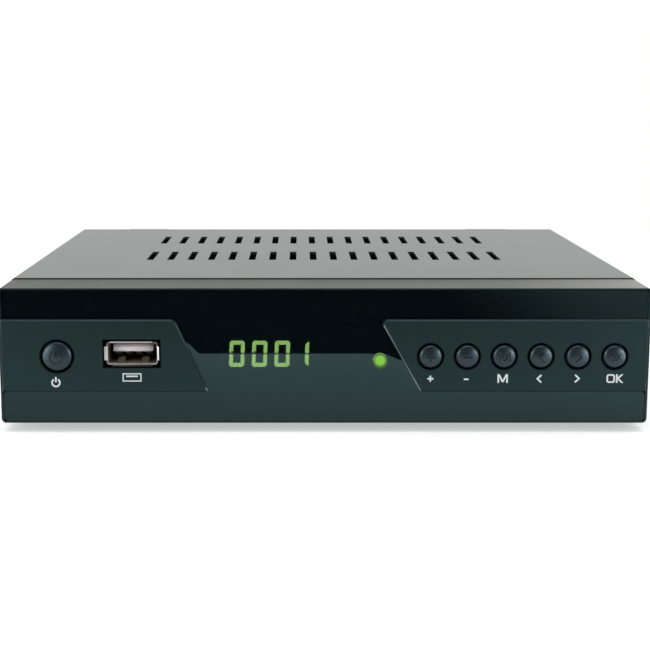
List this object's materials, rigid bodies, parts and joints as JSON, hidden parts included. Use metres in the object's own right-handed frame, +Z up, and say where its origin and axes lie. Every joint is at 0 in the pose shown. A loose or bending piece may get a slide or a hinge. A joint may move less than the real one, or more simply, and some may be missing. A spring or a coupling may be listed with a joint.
{
  "type": "satellite tv receiver",
  "caption": "Compact satellite receiver box: slotted steel cover, glossy window with digits, front push keys, USB socket, rear aerial and video sockets.",
  "frame": {"origin": "centre of the footprint, on the surface under the rubber feet", "axes": "+X to the right seen from the front, +Y from the front panel to the rear sockets, +Z up"},
  "size_m": [0.1712, 0.1314, 0.0384],
  "materials": {
    "satin_abs": "satin moulded black ABS",
    "smoked_acrylic": "polished smoked acrylic",
    "painted_steel": "satin black powder coat",
    "key_abs": "satin moulded black ABS, finer than the front",
    "foot_rubber": "moulded black rubber",
    "black_screw": "black oxide steel",
    "zinc_screw": "zinc plated steel",
    "switch_plastic": "moulded nylon",
    "green_laminate": "solder mask on glass epoxy",
    "display_block": "potted display block",
    "lit_lamp": "lit green segment",
    "dark_lamp": "unlit segment",
    "green_led": "lit green resin",
    "dark_epoxy": "moulded epoxy",
    "nickel_steel": "nickel plated steel",
    "white_plastic": "moulded white nylon",
    "gold_contact": "gold plated contact",
    "ribbon_vinyl": "vinyl ribbon",
    "aluminium_fin": "black anodised aluminium",
    "capacitor_sleeve": "shrink sleeve",
    "ferrite": "ferrite",
    "tin_plate": "tin plated steel",
    "nickel_brass": "nickel plated brass",
    "black_socket": "moulded PBT",
    "orange_plastic": "moulded orange plastic"
  },
  "bodies": {
    "case": {"board_ribbon": "ribbon_vinyl", "board_screws": "zinc_screw", "bottom_chassis": "painted_steel", "chip_heatsink": "aluminium_fin", "cover_screws": "black_screw", "crystal": "nickel_steel", "dc_jack_body": "black_socket", "dc_jack_pin": "nickel_brass", "display_driver": "dark_epoxy", "display_module": "display_block", "electrolytic_capacitors": "capacitor_sleeve", "f_contacts": "gold_contact", "f_insulators": "white_plastic", "front_board": "green_laminate", "front_board_header": "white_plastic", "front_board_screws": "zinc_screw", "front_lens": "smoked_acrylic", "front_panel": "satin_abs", "hdmi_shell": "nickel_steel", "hdmi_tongue": "black_socket", "ir_receiver": "dark_epoxy", "lit_segments": "lit_lamp", "lnb_in_connector": "nickel_brass", "lnb_out_connector": "nickel_brass", "main_board": "green_laminate", "main_board_header": "white_plastic", "main_chip": "dark_epoxy", "memory_chips": "dark_epoxy", "panel_screws": "black_screw", "power_inductors": "ferrite", "rubber_feet": "foot_rubber", "scart_body": "black_socket", "scart_contacts": "gold_contact", "scart_shield": "nickel_steel", "spdif_barrel": "nickel_brass", "spdif_core": "orange_plastic", "status_led": "green_led", "tact_switches": "switch_plastic", "top_cover": "painted_steel", "tuner_can": "tin_plate", "tuner_lid": "tin_plate", "unlit_segments": "dark_lamp", "usb_contacts": "gold_contact", "usb_shell": "nickel_steel", "usb_tongue": "white_plastic"},
    "power_key": {"power_button": "key_abs", "power_stem": "switch_plastic"},
    "plus_key": {"plus_button": "key_abs", "plus_stem": "switch_plastic"},
    "minus_key": {"minus_button": "key_abs", "minus_stem": "switch_plastic"},
    "menu_key": {"menu_button": "key_abs", "menu_stem": "switch_plastic"},
    "left_key": {"left_button": "key_abs", "left_stem": "switch_plastic"},
    "right_key": {"right_button": "key_abs", "right_stem": "switch_plastic"},
    "ok_key": {"ok_button": "key_abs", "ok_stem": "switch_plastic"}
  },
  "joints": [
    {"name": "power_press", "type": "slide", "parent": "case", "child": "power_key", "axis": [0, 1, 0], "range_m": [0, 0.0004], "stiffness_N_per_m": 400, "springref_m": -0.001},
    {"name": "plus_press", "type": "slide", "parent": "case", "child": "plus_key", "axis": [0, 1, 0], "range_m": [0, 0.0004], "stiffness_N_per_m": 400, "springref_m": -0.001},
    {"name": "minus_press", "type": "slide", "parent": "case", "child": "minus_key", "axis": [0, 1, 0], "range_m": [0, 0.0004], "stiffness_N_per_m": 400, "springref_m": -0.001},
    {"name": "menu_press", "type": "slide", "parent": "case", "child": "menu_key", "axis": [0, 1, 0], "range_m": [0, 0.0004], "stiffness_N_per_m": 400, "springref_m": -0.001},
    {"name": "left_press", "type": "slide", "parent": "case", "child": "left_key", "axis": [0, 1, 0], "range_m": [0, 0.0004], "stiffness_N_per_m": 400, "springref_m": -0.001},
    {"name": "right_press", "type": "slide", "parent": "case", "child": "right_key", "axis": [0, 1, 0], "range_m": [0, 0.0004], "stiffness_N_per_m": 400, "springref_m": -0.001},
    {"name": "ok_press", "type": "slide", "parent": "case", "child": "ok_key", "axis": [0, 1, 0], "range_m": [0, 0.0004], "stiffness_N_per_m": 400, "springref_m": -0.001}
  ]
}
